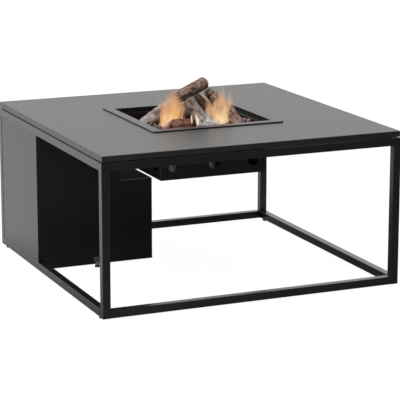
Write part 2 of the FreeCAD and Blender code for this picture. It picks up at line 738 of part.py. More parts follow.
# door: a sheet with returns along its top and bottom
hinge_x = -inner_x + hinge_radius + 1.8
hinge_y = cab_rear + hinge_radius + 0.8
door_x0 = hinge_x - 1.0
door_x1 = step_x - sheet - door_gap
door_z0 = z_rail_bottom + door_gap
door_z1 = z_fascia - door_gap
door_lip = door_x1 - door_return_end
door = joined([
    box(door_x0, door_x1, cab_rear - door_sheet, cab_rear, door_z0, door_z1),
    box(door_x0, door_lip, cab_rear - door_return, cab_rear, door_z0, door_z0 + door_sheet),
    box(door_x0, door_lip, cab_rear - door_return, cab_rear, door_z1 - door_sheet, door_z1)])
save("cabinet_door", door)

# lift-off hinges: the leg carries a leaf with a pin, the door a leaf with a sleeve
leaf = 1.5
pin_leaves, sleeve_leaves = [], []
for z_mid in (door_z0 + hinge_margin, door_z1 - hinge_margin):
    z_low, z_high = z_mid - hinge_length / 2, z_mid + hinge_length / 2
    z_pin = z_mid - fit_gap
    pin_leaves.append(joined([
        box(-inner_x, -inner_x + leaf, inner_y + 1, inner_y + tube - 6, z_low, z_pin),
        box(-inner_x, hinge_x, hinge_y - leaf / 2, hinge_y + leaf / 2, z_low, z_pin),
        rod(hinge_radius, z_pin - z_low, V(hinge_x, hinge_y, z_low)),
        rod(hinge_pin_radius, hinge_length, V(hinge_x, hinge_y, z_low))]))
    moving = joined([
        box(hinge_x, hinge_x + 26, cab_rear, cab_rear + leaf, z_mid, z_high),
        box(hinge_x, hinge_x + leaf, cab_rear, hinge_y, z_mid, z_high),
        rod(hinge_radius, z_high - z_mid, V(hinge_x, hinge_y, z_mid))])
    sleeve_leaves.append(moving.cut(rod(hinge_pin_radius + run_clear, hinge_length,
                                        V(hinge_x, hinge_y, z_mid - 1))))
save("hinge_pin_leaves", pin_leaves)
save("hinge_sleeve_leaves", sleeve_leaves)

# door knob
handle_x = door_x1 - 22.0
handle_z = (door_z0 + door_z1) / 2
handle = joined([rod(5.0, 10.0, V(handle_x, cab_rear, handle_z), y_axis),
                 Part.makeCone(6.0, 10.0, 5.0, V(handle_x, cab_rear + 9.0, handle_z), y_axis),
                 rod(10.0, 5.0, V(handle_x, cab_rear + 14.0, handle_z), y_axis)])
save("door_knob", handle)

# magnet catch on the step wall, behind the door's free edge
catch_z = z_step + 30.0
catch_y1 = cab_rear - door_sheet - fit_gap
save("door_catch", joined([box(step_x - sheet - 18, step_x - sheet, catch_y1 - 18, catch_y1 - 1.5,
                               catch_z - 14, catch_z + 14),
                           box(step_x - sheet - 15, step_x - sheet - 3, catch_y1 - 2, catch_y1,
                               catch_z - 11, catch_z + 11)]))

# bracket and fifth levelling foot under the cabinet's front
bracket_x = (cab_left + cab_right) / 2
bracket_y = cab_front - 12.0
bracket_low = z_frame + hem_height
foot_bracket = joined([
    rod(foot_boss_radius + 0.5, 14.0, V(bracket_x, bracket_y, z_frame)),
    box(bracket_x - 9, bracket_x + 9, cab_front - 2, cab_front, bracket_low, bracket_low + 16),
    box(bracket_x - 4, bracket_x + 4, bracket_y, cab_front, bracket_low, z_frame + 14)])
foot_bracket = foot_bracket.cut(rod(foot_stud_radius + run_clear, 30,
                                    V(bracket_x, bracket_y, z_frame - 5)))
save("foot_bracket", foot_bracket)
at = V(bracket_x, bracket_y, 0)
save("foot_cabinet", joined([Part.makeCone(foot_radius - 1, foot_radius - 2.5, pad_height, at),
                             rod(foot_stud_radius, pad_height + foot_stud_length, at)]))
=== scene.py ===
# %% [markdown]
# # A fire table for the garden
#
# This lesson builds the looks of a low square fire table. A frame of thin square tube
# carries a folded sheet top. A burner with a set of ceramic logs sits in the middle of
# the top, and a cabinet for the gas bottle fills one corner.
# The hard shapes were made as solids in a CAD program. They are loaded first, and
# nothing here moves them. Blender adds what CAD is bad at: bark, stone, flames, and the
# fine grain of painted and plated metal.

# %% Load the frame
import json
import bpy
import numpy as np
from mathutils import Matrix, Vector


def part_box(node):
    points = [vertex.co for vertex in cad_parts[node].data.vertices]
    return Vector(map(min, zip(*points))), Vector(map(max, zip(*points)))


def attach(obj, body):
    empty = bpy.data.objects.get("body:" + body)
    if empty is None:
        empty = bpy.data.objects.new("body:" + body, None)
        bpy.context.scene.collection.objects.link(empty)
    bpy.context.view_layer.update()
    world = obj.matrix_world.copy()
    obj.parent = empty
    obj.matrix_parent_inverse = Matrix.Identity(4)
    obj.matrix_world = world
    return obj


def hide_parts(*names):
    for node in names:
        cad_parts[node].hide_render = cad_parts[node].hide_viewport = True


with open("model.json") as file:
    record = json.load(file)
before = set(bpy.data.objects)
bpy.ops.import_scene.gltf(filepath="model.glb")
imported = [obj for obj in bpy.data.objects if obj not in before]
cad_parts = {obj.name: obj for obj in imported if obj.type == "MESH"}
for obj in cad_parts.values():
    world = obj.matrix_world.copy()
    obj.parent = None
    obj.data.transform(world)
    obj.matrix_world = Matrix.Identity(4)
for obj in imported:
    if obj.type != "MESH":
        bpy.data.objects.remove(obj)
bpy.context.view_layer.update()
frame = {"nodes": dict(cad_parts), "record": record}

# %% [markdown]
# ## The camera
#
# Furniture is usually photographed from a few metres away through a long lens, so that
# its edges stay almost parallel. The camera stands to the left of the front and a
# little above the top. A direction and a distance are easier to change than three
# coordinates, so the place is worked out from those.

# %% Camera


def place_camera(azimuth, elevation, distance, aim, lens):
    """The camera lies at distance from aim, along the direction that the angles give."""
    a, e = np.radians(azimuth), np.radians(elevation)
    back = Vector((np.sin(a) * np.cos(e), -np.cos(a) * np.cos(e), np.sin(e)))
    data = bpy.data.cameras.new("camera")
    data.lens, data.sensor_width, data.clip_end = lens, 36.0, 60.0
    camera = bpy.data.objects.new("camera", data)
    camera.location = Vector(aim) + back * distance
    camera.rotation_euler = back.to_track_quat("Z", "Y").to_euler()
    bpy.context.collection.objects.link(camera)
    bpy.context.scene.camera = camera
    return camera


camera = place_camera(azimuth=-23.376, elevation=13.148, distance=6.1006,
                      aim=(0.02993, 0.0, 0.21652), lens=166.17)
bpy.context.scene.view_settings.view_transform = "Standard"
print("camera at", [round(c, 3) for c in camera.location])

# %% [markdown]
# ## Small helpers for nodes
#
# Sky, floor and finishes are all made of shader nodes. Written out one by one, nodes hide
# what they do, so a few short helpers come first. Each takes numbers or other nodes'
# sockets and gives back the socket with its result, so that a chain reads like a formula.

# %% Node helpers


def fill(tree, node, values):
    """Fill a node's inputs: a socket is linked, a number or a colour is set."""
    for key, value in values.items():
        if isinstance(value, bpy.types.NodeSocket):
            tree.links.new(value, node.inputs[key])
        else:
            node.inputs[key].default_value = value
    return node


def add(tree, kind, values=None, **settings):
    """A new node with its settings and its inputs."""
    node = tree.nodes.new(kind)
    for key, value in settings.items():
        setattr(node, key, value)
    return fill(tree, node, values or {})


def maths(tree, operation, *values, clamp=False):
    """One Math node over numbers and sockets."""
    return add(tree, "ShaderNodeMath", dict(enumerate(values)), operation=operation,
               use_clamp=clamp).outputs[0]


def spread(tree, value, start, end, low=0.0, high=1.0, smooth=False):
    """A value carried from start..end to low..high and held there; smooth eases the ends."""
    return add(tree, "ShaderNodeMapRange",
               {"Value": value, "From Min": start, "From Max": end, "To Min": low,
                "To Max": high},
               interpolation_type="SMOOTHSTEP" if smooth else "LINEAR").outputs["Result"]


def axes(tree, vector):
    """The X, Y and Z of a vector."""
    return add(tree, "ShaderNodeSeparateXYZ", {0: vector}).outputs


def object_place(tree):
    """The place on the object, in metres from its origin."""
    return add(tree, "ShaderNodeTexCoord").outputs["Object"]


def seen_by_eye(tree):
    """1 for rays that come from the camera, 0 for reflections and bounced light."""
    return add(tree, "ShaderNodeLightPath").outputs["Is Camera Ray"]


white = (1.0, 1.0, 1.0, 1.0)
print("node helpers", [f.__name__ for f in (fill, add, maths, spread, axes)])

# %% [markdown]
# ## A pale studio
#
# A black object is seen by what it reflects. In a studio it stands on a white sweep,
# with the light behind it and to its left, and little light near the camera. The sky
# here is a gradient: white behind, left and above, dark in front. The eye sees plain
# white, because the Light Path node tells camera rays apart. The floor is pale too,
# and glows a little, as a lit sweep does, so that its shadow stays soft. Reflections see
# the same floor, bright behind, dim in front, and dark in the table's own shade.

# %% Sky
light_way = (-0.46, 0.72, 0.52)      # towards the light: left, behind and above
world = bpy.data.worlds.new("studio")
bpy.context.scene.world = world
world.use_nodes = True
sky = world.node_tree
sky.nodes.clear()
direction = add(sky, "ShaderNodeTexCoord").outputs["Generated"]
toward = add(sky, "ShaderNodeVectorMath", {0: direction, 1: light_way},
             operation="DOT_PRODUCT").outputs["Value"]
sky_level = spread(sky, toward, -0.55, 0.42, 0.14, 1.1, smooth=True)
lit = add(sky, "ShaderNodeBackground", {"Color": white, "Strength": sky_level})
seen = add(sky, "ShaderNodeBackground", {"Color": white, "Strength": 1.0})
both = add(sky, "ShaderNodeMixShader", {"Fac": seen_by_eye(sky), 1: lit.outputs[0],
                                        2: seen.outputs[0]})
add(sky, "ShaderNodeOutputWorld", {"Surface": both.outputs[0]})
print("sky nodes", len(sky.nodes))

# %% Floor


def pale_floor(half=14.0, drop=0.0005):
    """A flat sweep. Camera rays see it white with a faint shadow. Reflections see it
    bright behind the object, dim in front of it, dimmer to the right, and dark under it,
    where the larger of the distances from the middle along X and Y is below half the
    table."""
    mesh = bpy.data.meshes.new("floor")
    mesh.from_pydata([(-half, -half, 0), (half, -half, 0), (half, half, 0),
                      (-half, half, 0)], [], [(0, 1, 2, 3)])
    floor = bpy.data.objects.new("floor", mesh)
    bpy.context.collection.objects.link(floor)
    floor.location.z = -drop
    material = bpy.data.materials.new("floor_sweep")
    material.use_nodes = True
    t = material.node_tree
    t.nodes.clear()
    matt = add(t, "ShaderNodeBsdfDiffuse", {"Color": (0.06, 0.06, 0.06, 1.0)})
    glow = add(t, "ShaderNodeEmission", {"Color": white, "Strength": 0.975})
    plain = add(t, "ShaderNodeAddShader", {0: matt.outputs[0], 1: glow.outputs[0]})
    place = axes(t, object_place(t))
    depth = spread(t, place["Y"], -0.9, 0.9, 0.27, 1.0, smooth=True)
    across = spread(t, place["X"], -0.5, 0.6, 1.03, 0.66, smooth=True)
    reach = maths(t, "MAXIMUM", maths(t, "ABSOLUTE", place["X"]),
                  maths(t, "ABSOLUTE", place["Y"]))
    shade = spread(t, reach, 0.38, 0.62, 0.22, 1.0, smooth=True)
    level = maths(t, "MULTIPLY", maths(t, "MULTIPLY", depth, shade), across)
    mirror = add(t, "ShaderNodeEmission", {"Color": white, "Strength": level})
    mix = add(t, "ShaderNodeMixShader", {"Fac": seen_by_eye(t), 1: mirror.outputs[0],
                                         2: plain.outputs[0]})
    add(t, "ShaderNodeOutputMaterial", {"Surface": mix.outputs[0]})
    mesh.materials.append(material)
    return floor


floor = pale_floor()
print(floor.name, "is", round(floor.dimensions.x), "m wide")

# %% Soft lamp


def soft_lamp(name, place, aim, size, power):
    """A square softbox that faces its aim."""
    data = bpy.data.lights.new(name, "AREA")
    data.energy, data.size = power, size
    lamp = bpy.data.objects.new(name, data)
    lamp.location = place
    lamp.rotation_euler = (Vector(place) - Vector(aim)).to_track_quat("Z", "Y").to_euler()
    bpy.context.collection.objects.link(lamp)
    return lamp


key_lamp = soft_lamp("key_softbox", place=(-2.2, -1.6, 2.6), aim=(0, 0, 0.5), size=1.6,
                     power=34.0)
print(key_lamp.name, key_lamp.data.energy, "W")

# %% [markdown]
# ## Shared effects
#
# Powder paint, plating and stone share a few effects: a fine grain, large soft clouds
# in the tone, and a film of dust with a painted sheen on what faces up. Each is a node
# group with named sockets, made once. A group gives only masks and heights, and the
# shader stays in the material, where its gloss and metal are set on its own sockets.

# %% Parts of a group


def new_group(name, inputs, outputs):
    """An empty group with named sockets: inputs as (name, default), outputs as names.
    Gives the group, the sockets that come in, and the node that takes the results."""
    group = bpy.data.node_groups.new(name, "ShaderNodeTree")
    for label, value in inputs:
        socket = group.interface.new_socket(label, in_out="INPUT",
                                            socket_type="NodeSocketFloat")
        socket.default_value = value
        socket.min_value, socket.max_value = -10000.0, 10000.0
    for label in outputs:
        group.interface.new_socket(label, in_out="OUTPUT", socket_type="NodeSocketFloat")
    start, end = group.nodes.new("NodeGroupInput"), group.nodes.new("NodeGroupOutput")
    return group, start.outputs, end


def noise(tree, where, scale, detail, roughness, distortion=0.0):
    """A cloudy noise, about 0.3 to 0.7."""
    return add(tree, "ShaderNodeTexNoise",
               {"Vector": where, "Scale": scale, "Detail": detail, "Roughness": roughness,
                "Distortion": distortion}).outputs["Fac"]


def cells(tree, where, scale, feature="F1"):
    """The distance to the middle of the nearest of many scattered cells."""
    return add(tree, "ShaderNodeTexVoronoi", {"Vector": where, "Scale": scale},
               feature=feature).outputs["Distance"]


def stretched(tree, vector, factors):
    """A vector times three factors, so that a noise on it is drawn out or packed."""
    return add(tree, "ShaderNodeVectorMath", {0: vector, 1: factors},
               operation="MULTIPLY").outputs["Vector"]


def facing_up(tree):
    """1 where the surface looks up, 0 on walls and -1 where it looks down."""
    normal = add(tree, "ShaderNodeNewGeometry").outputs["Normal"]
    return axes(tree, normal)["Z"]


print("group helpers", [f.__name__ for f in (noise, cells, stretched, facing_up)])

# %% Grain, dust with a painted sheen, and scuffs


def build_grain():
    """Height is a fine noise plus smooth cells, like cured powder paint or cast skin.
    Tone is a slow cloud from 0 to 1."""
    g, given, result = new_group("fine_grain", [("Scale", 900.0), ("Clouds", 6.0)],
                                 ["Height", "Tone"])
    where = object_place(g)
    fine = noise(g, where, given["Scale"], 2.0, 0.55)
    pebbles = cells(g, where, given["Scale"], "SMOOTH_F1")
    slow = noise(g, where, given["Clouds"], 3.0, 0.6)
    fill(g, result, {"Height": maths(g, "ADD", fine, pebbles),
                     "Tone": spread(g, slow, 0.3, 0.7)})
    return g


def build_dust_and_sheen():
    """Dust is 1 where a face looks up and a patchy noise allows it, and 0 below. It is dust, and
    also a painted sheen that lightens faces that look up.
    """
    g, given, result = new_group("dust_and_painted_sheen", [("Scale", 30.0), ("Cover", 0.5)], ["Dust_And_Sheen"])
    level = spread(g, facing_up(g), 0.6, 1.0)
    dust_sheen_film = spread(g, noise(g, object_place(g), given["Scale"], 6.0, 0.7), 0.35, 0.75)
    up_facing_patches = maths(g, "MULTIPLY", level, dust_sheen_film)
    fill(g, result, {"Dust_And_Sheen": maths(g, "MULTIPLY", up_facing_patches, given["Cover"])})
    return g


def build_scuffs():
    """Scuffs are thin streaks, a noise drawn out along X, 1 in a streak and 0 between."""
    g, given, result = new_group("light_scuffs", [("Scale", 60.0), ("Amount", 0.4)],
                                 ["Scuffs"])
    drawn = stretched(g, object_place(g), (0.25, 1.6, 1.0))
    thin = spread(g, noise(g, drawn, given["Scale"], 7.0, 0.75, 0.3), 0.52, 0.7)
    fill(g, result, {"Scuffs": maths(g, "MULTIPLY", thin, given["Amount"])})
    return g


grain_group, dust_and_sheen_group, scuff_group = build_grain(), build_dust_and_sheen(), build_scuffs()
print("groups", [g.name for g in bpy.data.node_groups])

# %% [markdown]
# ## Painted, plated and plain finishes
#
# Most of the table is powder coated. Powder melts into a skin with a fine pebble grain,
# which breaks up reflections, and it is never quite one tone. One recipe covers all
# such finishes: two close colours mixed by a slow cloud, dust with a painted sheen on
# top, a grain in the bump, and a roughness that the scuffs change. Only its numbers
# differ from one finish to the next.

# %% The finish recipe


def group_node(tree, group, **values):
    """The outputs of a group that is placed in a tree with its own values."""
    return add(tree, "ShaderNodeGroup", values, node_tree=group).outputs


def tones(tree, mask, below, above):
    """A colour that goes from below to above as the mask goes from 0 to 1. Each of the
    two is a socket or three numbers."""
    a, b = (c if isinstance(c, bpy.types.NodeSocket) else (*c, 1.0) for c in (below, above))
    return add(tree, "ShaderNodeMix", {"Factor": mask, "A": a, "B": b},
               data_type="RGBA").outputs["Result"]


def bumped(tree, height, distance, strength=1.0):
    """The normal of a surface raised by a height from 0 to 1 times the distance."""
    return add(tree, "ShaderNodeBump", {"Height": height, "Distance": distance,
                                        "Strength": strength}).outputs["Normal"]


def new_material(name):
    material = bpy.data.materials.new(name)
    material.use_nodes = True
    return material, material.node_tree, material.node_tree.nodes["Principled BSDF"]


def finish_material(name, low, high, rough=(0.4, 0.5), metal=0.0, specular=0.5,
                    grain=900.0, depth=0.00002, clouds=6.0, dust_and_sheen=0.0,
                    dust_and_sheen_tone=(0.3, 0.29, 0.27), scuffs=0.3):
    """Two tones, a grain, scuffs in the gloss, and dust with a painted sheen on faces
    that look up, where its amount is above 0.
    """
    material, t, skin = new_material(name)
    skin_grain = group_node(t, grain_group, Scale=grain, Clouds=clouds)
    colour = tones(t, skin_grain["Tone"], low, high)
    # Dust and a painted sheen: faces that look up are lightened towards the dust tone.
    if dust_and_sheen:
        dust_sheen_film = group_node(t, dust_and_sheen_group, Scale=30.0, Cover=dust_and_sheen)["Dust_And_Sheen"]
        colour = tones(t, dust_sheen_film, colour, dust_and_sheen_tone)
    marks = group_node(t, scuff_group, Scale=60.0, Amount=scuffs)["Scuffs"]
    fill(t, skin, {"Base Color": colour, "Roughness": spread(t, marks, 0.0, 1.0, *rough),
                   "Normal": bumped(t, skin_grain["Height"], depth), "Metallic": metal,
                   "Specular IOR Level": specular})
    return material


print("a finish mixes", [g.name for g in (grain_group, dust_and_sheen_group, scuff_group)])

# %% The finishes
# The dust amounts below also set a painted sheen on faces that look up.
finish_table = {
    "frame_coat": dict(low=(0.0075, 0.0075, 0.0078), high=(0.011, 0.011, 0.0112),
                       rough=(0.26, 0.4), grain=1100.0, depth=0.00003, dust_and_sheen=0.05),
    "top_coat": dict(low=(0.016, 0.016, 0.0157), high=(0.0195, 0.0195, 0.019),
                     rough=(0.36, 0.46), specular=0.55, grain=1300.0, depth=0.00005,
                     clouds=3.0, dust_and_sheen=0.05, scuffs=0.45),
    "tray_coat": dict(low=(0.006, 0.006, 0.006), high=(0.011, 0.0108, 0.0104),
                      rough=(0.34, 0.5), specular=0.45, grain=1000.0, depth=0.00004,
                      dust_and_sheen=0.16, dust_and_sheen_tone=(0.16, 0.15, 0.14)),
    "panel_coat": dict(low=(0.006, 0.006, 0.0062), high=(0.009, 0.009, 0.0092),
                       rough=(0.28, 0.42), specular=0.42, grain=1100.0, depth=0.00003,
                       clouds=4.0, dust_and_sheen=0.05),
    # The step's darker, dull coat is a painted shade for the deep shadow under the top.
    "step_coat": dict(low=(0.003, 0.003, 0.003), high=(0.006, 0.006, 0.006),
                      rough=(0.85, 0.95), specular=0.08, depth=0.00005, scuffs=0.8),
    "foot_plastic": dict(low=(0.012, 0.012, 0.012), high=(0.022, 0.022, 0.022),
                         rough=(0.5, 0.7), grain=1600.0, depth=0.00004, scuffs=0.8),
    "pad_rubber": dict(low=(0.012, 0.012, 0.012), high=(0.02, 0.02, 0.02),
                       rough=(0.65, 0.85), grain=1400.0, depth=0.00004),
    "black_plastic": dict(low=(0.012, 0.012, 0.012), high=(0.02, 0.02, 0.021),
                          rough=(0.34, 0.5), grain=1500.0, depth=0.00003),
    "zinc_steel": dict(low=(0.3, 0.31, 0.33), high=(0.46, 0.46, 0.45), rough=(0.36, 0.6),
                       metal=1.0, grain=500.0, clouds=140.0, scuffs=0.7),
    "knob_steel": dict(low=(0.5, 0.5, 0.52), high=(0.64, 0.64, 0.65), rough=(0.24, 0.4),
                       metal=1.0, grain=1500.0, depth=0.00001, clouds=60.0, scuffs=0.8),
    "brass": dict(low=(0.56, 0.38, 0.14), high=(0.74, 0.54, 0.24), rough=(0.22, 0.45),
                  metal=1.0, depth=0.00001, clouds=90.0, scuffs=0.7),
    "pipe_aluminium": dict(low=(0.6, 0.6, 0.62), high=(0.76, 0.76, 0.77),
                           rough=(0.28, 0.5), metal=1.0, grain=700.0, depth=0.00001,
                           clouds=70.0, scuffs=0.9),
    "electrode_ceramic": dict(low=(0.72, 0.7, 0.64), high=(0.86, 0.84, 0.79),
                              rough=(0.45, 0.6), grain=2000.0, clouds=200.0),
    "burner_steel": dict(low=(0.2, 0.13, 0.1), high=(0.46, 0.42, 0.38), rough=(0.32, 0.55),
                         metal=1.0, grain=700.0, clouds=40.0, scuffs=0.9),
    "grate_steel": dict(low=(0.01, 0.009, 0.0085), high=(0.045, 0.034, 0.028),
                        rough=(0.55, 0.8), specular=0.35, grain=700.0, depth=0.0001,
                        clouds=60.0, dust_and_sheen=0.3, dust_and_sheen_tone=(0.16, 0.14, 0.12)),
}
finishes = {name: finish_material(name, **numbers) for name, numbers in finish_table.items()}
print("finishes", len(finishes))

# %% [markdown]
# ## Painting the CAD parts
#
# Each CAD part names a material slot in the record, so the finishes are handed out by
# that name. The parts' own meshes stay as they came, and only their slots are filled.
# One part differs from its slot: the step of the cabinet, under the top, gets a darker,
# rough and dull coat, a painted shade for the deep shadow that the top casts on it.

# %% Hand out the finishes
slot_of = {part["node"]: part["material_slot"] for part in frame["record"]["subparts"]}
# The step gets the painted shade coat instead of its own slot's finish.
painted_shade_parts = {"cabinet_step": "step_coat"}
for node, thing in frame["nodes"].items():
    if slot_of[node] in finishes:
        thing.data.materials.clear()
        thing.data.materials.append(finishes[painted_shade_parts.get(node, slot_of[node])])
print("painted", sum(s in finishes for s in slot_of.values()), "parts")

# %% [markdown]
# ## New pieces as surfaces
#
# A log, a stone or a flame is a sheet of points with rows and columns, and the faces
# follow from the grid. Round pieces join their last column to the first and close each
# end on one point, so no seam or hole is left.

# %% Grid to faces


def grid_faces(rows, cols, round_it):
    """Square faces between neighbouring rows and columns; round_it joins the last column
    to the first. Faces point outwards when columns run anticlockwise seen from the top."""
    r = np.arange(rows - 1)[:, None] * cols
    c = np.arange(cols if round_it else cols - 1)[None, :]
    n = (c + 1) % cols
    return np.stack([r + c, r + n, r + cols + n, r + cols + c], -1).reshape(-1, 4)


def closed_faces(rows, cols, first=0):
    """Faces of a round grid whose point list starts with one pole and ends with the other.
    Its points are numbered from first."""
    start, end = first, first + rows * cols + 1
    c = np.arange(cols)
    n = (c + 1) % cols
    body = grid_faces(rows, cols, True) + first + 1
    low = np.stack([np.full(cols, start), first + 1 + n, first + 1 + c], -1)
    top = first + 1 + (rows - 1) * cols
    high = np.stack([np.full(cols, end), top + c, top + n], -1)
    return body.tolist() + low.tolist() + high.tolist()


print("grid of 4 x 5 closes with", len(closed_faces(4, 5)), "faces")

# %% A new piece


def new_piece(name, points, faces, material, stands_for=(), fields=None, body="frame"):
    """A smooth mesh at the origin that rides on a body. fields are values per point."""
    mesh = bpy.data.meshes.new(name)
    mesh.from_pydata(np.asarray(points).tolist(), [], faces)
    mesh.polygons.foreach_set("use_smooth", np.ones(len(mesh.polygons), bool))
    for key, values in (fields or {}).items():
        values = np.asarray(values, np.float32)
        kind, inside = ("FLOAT_VECTOR", "vector") if values.ndim == 2 else ("FLOAT", "value")
        layer = mesh.attributes.new(key, kind, "POINT")
        layer.data.foreach_set(inside, values.ravel())
    mesh.materials.append(material)
    piece = bpy.data.objects.new(name, mesh)
    bpy.context.collection.objects.link(piece)
    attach(piece, body)
    if stands_for:
        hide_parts(*stands_for)
    return piece


# %% Random relief


def smooth_random(across, along, seed):
    """Smooth relief from 0 to 1: random heights on a lattice, joined by smooth steps.
    across and along are lattice coordinates as arrays; across closes after its top."""
    turns = int(np.ceil(across.max() + 1e-6))
    table = np.random.default_rng(seed).random((int(along.max()) + 3, turns))
    x0, y0 = np.floor(across).astype(int), np.floor(along).astype(int)
    fx, fy = across - x0, along - y0
    fx, fy = fx * fx * (3 - 2 * fx), fy * fy * (3 - 2 * fy)
    x0, x1 = x0 % turns, (x0 + 1) % turns
    low = table[y0, x0] * (1 - fx) + table[y0, x1] * fx
    high = table[y0 + 1, x0] * (1 - fx) + table[y0 + 1, x1] * fx
    return low * (1 - fy) + high * fy


sample = smooth_random(*np.meshgrid(np.linspace(0, 4, 9), np.linspace(0, 4, 9)), 1)
print("relief from", round(sample.min(), 2), "to", round(sample.max(), 2))

# %% [markdown]
# ## The log set: bark in a mould
#
# The logs are ceramic fibre, cast in moulds taken from real branches, then painted. The
# bark is therefore real relief, with furrows that run along the branch, a knot here and
# there, and worn round ends. Each log is one surface: the way along the branch and the
# angle round it give a radius. The radius is a round end, times slow lobes, times
# furrows made from a random relief folded at its middle, so that the fold cuts a valley.

# %% A log's middle line


def log_line(node, radius):
    """The middle line of a CAD log: its box, one radius in from each side, crossed by the
    diagonal along which the corners of the log's mesh spread."""
    low, high = (np.array(c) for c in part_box(node))
    mesh = frame["nodes"][node].data
    corner = np.empty(len(mesh.vertices) * 3)
    mesh.vertices.foreach_get("co", corner)
    corner = corner.reshape(-1, 3) - corner.reshape(-1, 3).mean(0)
    foot, head = low + radius, high - radius
    for axis in (1, 2):
        if (corner[:, 0] * corner[:, axis]).mean() < 0:
            foot[axis], head[axis] = head[axis], foot[axis]
    return (foot, head) if foot[2] <= head[2] else (head, foot)


print("logs in the frame", sorted(n for n in frame["nodes"] if n.startswith("log_")))

# %% Log surface
log_cols = 112              # points round a log
row_step = 0.0013           # metres between its rows
cap_rows = 18               # rows in each end
dome = 0.62                 # power of the sine and cosine: below 1, a flatter end
plate_length = 0.021        # metres of bark between two cracks across it
strip_length = 0.011
speck_length = 0.0035
knot_turn, knot_reach = 0.07, 0.45      # a knot's width: turns, and radii along the log


def branch(foot, head, radius, seed, bark=0.16, lobes=0.12, knots=((0.3, 0.4, 0.3),),
           bend=0.16, taper=0.06, plates=9, blunt=0.9, most=1.04):
    """Rows go along the branch, columns round it. Each end is a blunt dome: the radius
    is a power of the sine of the row's angle and the depth a power of its cosine, which
    gives a flat face with a worn rim. Between them the radius is the branch's own, times
    its taper, slow lobes and bark, plus knots, which are smooth bumps (angle, way,
    height). The bark is folded random relief in coarse plates and finer strips."""
    rng = np.random.default_rng(seed)
    axis = head - foot
    length = np.linalg.norm(axis)
    axis = axis / length
    side = np.cross(axis, (0.0, 0.0, 1.0))
    side = side / np.linalg.norm(side)
    lift = np.cross(axis, side)
    cap, tip = 0.5 * radius, blunt * radius
    t = np.linspace(0.0, np.pi / 2, cap_rows + 1)[1:]
    rim, depth = np.sin(t) ** dome, cap * (1 - np.cos(t) ** dome)
    inner = np.linspace(-tip + cap, length + tip - cap, int(length / row_step))[1:-1]
    way = np.concatenate([-tip + depth, inner, (length + tip - depth)[::-1]])
    rim = np.concatenate([rim, np.ones(len(inner)), rim[::-1]])
    a, w = np.meshgrid(np.arange(log_cols) / log_cols, way)
    k = np.repeat(rim[:, None], log_cols, 1)
    along = w + tip
    run = along / (length + 2 * tip)
    turn = (a + 0.05 * (smooth_random(a * 3, run * 5, seed + 1) - 0.5)) % 1.0
    folds = 1 - np.abs(2 * smooth_random(turn * plates, along / plate_length, seed + 2) - 1)
    strips = 1 - np.abs(2 * smooth_random(turn * plates * 2, along / strip_length, seed + 3) - 1)
    fine = smooth_random(turn * 30, along / speck_length, seed + 4)
    relief = 0.55 * folds ** 0.7 + 0.3 * strips + 0.15 * fine
    swell = smooth_random(a * 4, run * 4, seed + 5) - 0.6
    r = radius * (1.0 - taper * run) * (1 + lobes * swell + bark * (relief - 0.75))
    for knot_angle, knot_run, height in knots:
        near = np.minimum(np.abs(a - knot_angle), 1 - np.abs(a - knot_angle))
        away = (run - knot_run) * length / radius / knot_reach
        r = r + height * radius * np.exp(-(near / knot_turn) ** 2 - away ** 2)
    r = np.minimum(r, radius * most)
    worn = np.clip((k - 0.55) / 0.45, 0.0, 1.0)
    x, y = k * r * np.cos(2 * np.pi * a), k * r * np.sin(2 * np.pi * a)
    z = w + (1 - worn) * 0.10 * radius * (fine - 0.5)
    sway = bend * radius * np.sin(np.pi * run)
    out, up = x + sway * rng.choice((-1, 1)), y + 0.6 * sway * rng.choice((-1, 1))
    points = (foot + out[..., None] * side - up[..., None] * lift
              + z[..., None] * axis).reshape(-1, 3)
    local = np.stack([x, y, z], -1).reshape(-1, 3)

    def closed(grid):
        """The grid's points, with the middle of the first and last row as poles."""
        return np.vstack([grid[:log_cols].mean(0), grid, grid[-log_cols:].mean(0)])

    def with_ends(values, first, last):
        return np.concatenate([[first], values.ravel(), [last]])

    fields = {"grain": closed(local),
              "relief": with_ends(relief * worn + 0.5 * (1 - worn), 0.5, 0.5),
              "run": with_ends(run, 0.0, 1.0)}
    return closed(points), closed_faces(len(way), log_cols), fields


print("a log has", log_cols, "points round it and", round(0.1 / row_step), "rows in 100 mm")

# %% [markdown]
# ## The logs' paint
#
# The factory paints each log by hand: a dark wash that stays in the furrows, a lighter
# dry brush on the ridges, ash near the fire, and red specks that look alight. The
# undersides get a painted shade.
# One node group does the wash and the dry brush. It reads the relief that the surface
# left on the mesh, and a noise drawn out along the branch, so the streaks follow it.

# %% Bark group


def attribute(tree, name):
    """The outputs of an attribute that a surface left on its mesh."""
    return add(tree, "ShaderNodeAttribute", attribute_name=name).outputs


def build_bark():
    """Ridges is 1 on high bark and 0 in furrows. Patches is a slow cloud along the branch.
    Flecks is 1 in small sharp spots. The underside mask is 1 where the bark faces down and 0 on
    top: a painted shade."""
    g, given, result = new_group("cast_bark", [("Streaks", 130.0), ("Patches", 28.0),
                                               ("Flecks", 230.0)],
                                 ["Ridges", "Patches", "Flecks", "Underside_Shade", "Height"])
    local = attribute(g, "grain")["Vector"]
    drawn = stretched(g, local, (1.0, 1.0, 0.24))
    streaks = noise(g, drawn, given["Streaks"], 6.0, 0.68, 0.4)
    moulded = maths(g, "MULTIPLY", attribute(g, "relief")["Fac"], 0.62)
    height = maths(g, "MULTIPLY_ADD", streaks, 0.6, moulded)
    slow = noise(g, drawn, given["Patches"], 4.0, 0.62)
    spots = noise(g, local, given["Flecks"], 3.0, 0.6)
    # The underside mask is a painted shade for the undersides of the logs.
    fill(g, result, {"Height": height, "Ridges": spread(g, height, 0.5, 0.88, smooth=True),
                     "Patches": spread(g, slow, 0.42, 0.6, smooth=True),
                     "Flecks": spread(g, spots, 0.56, 0.64),
                     "Underside_Shade": spread(g, facing_up(g), 0.25, -0.75)})
    return g


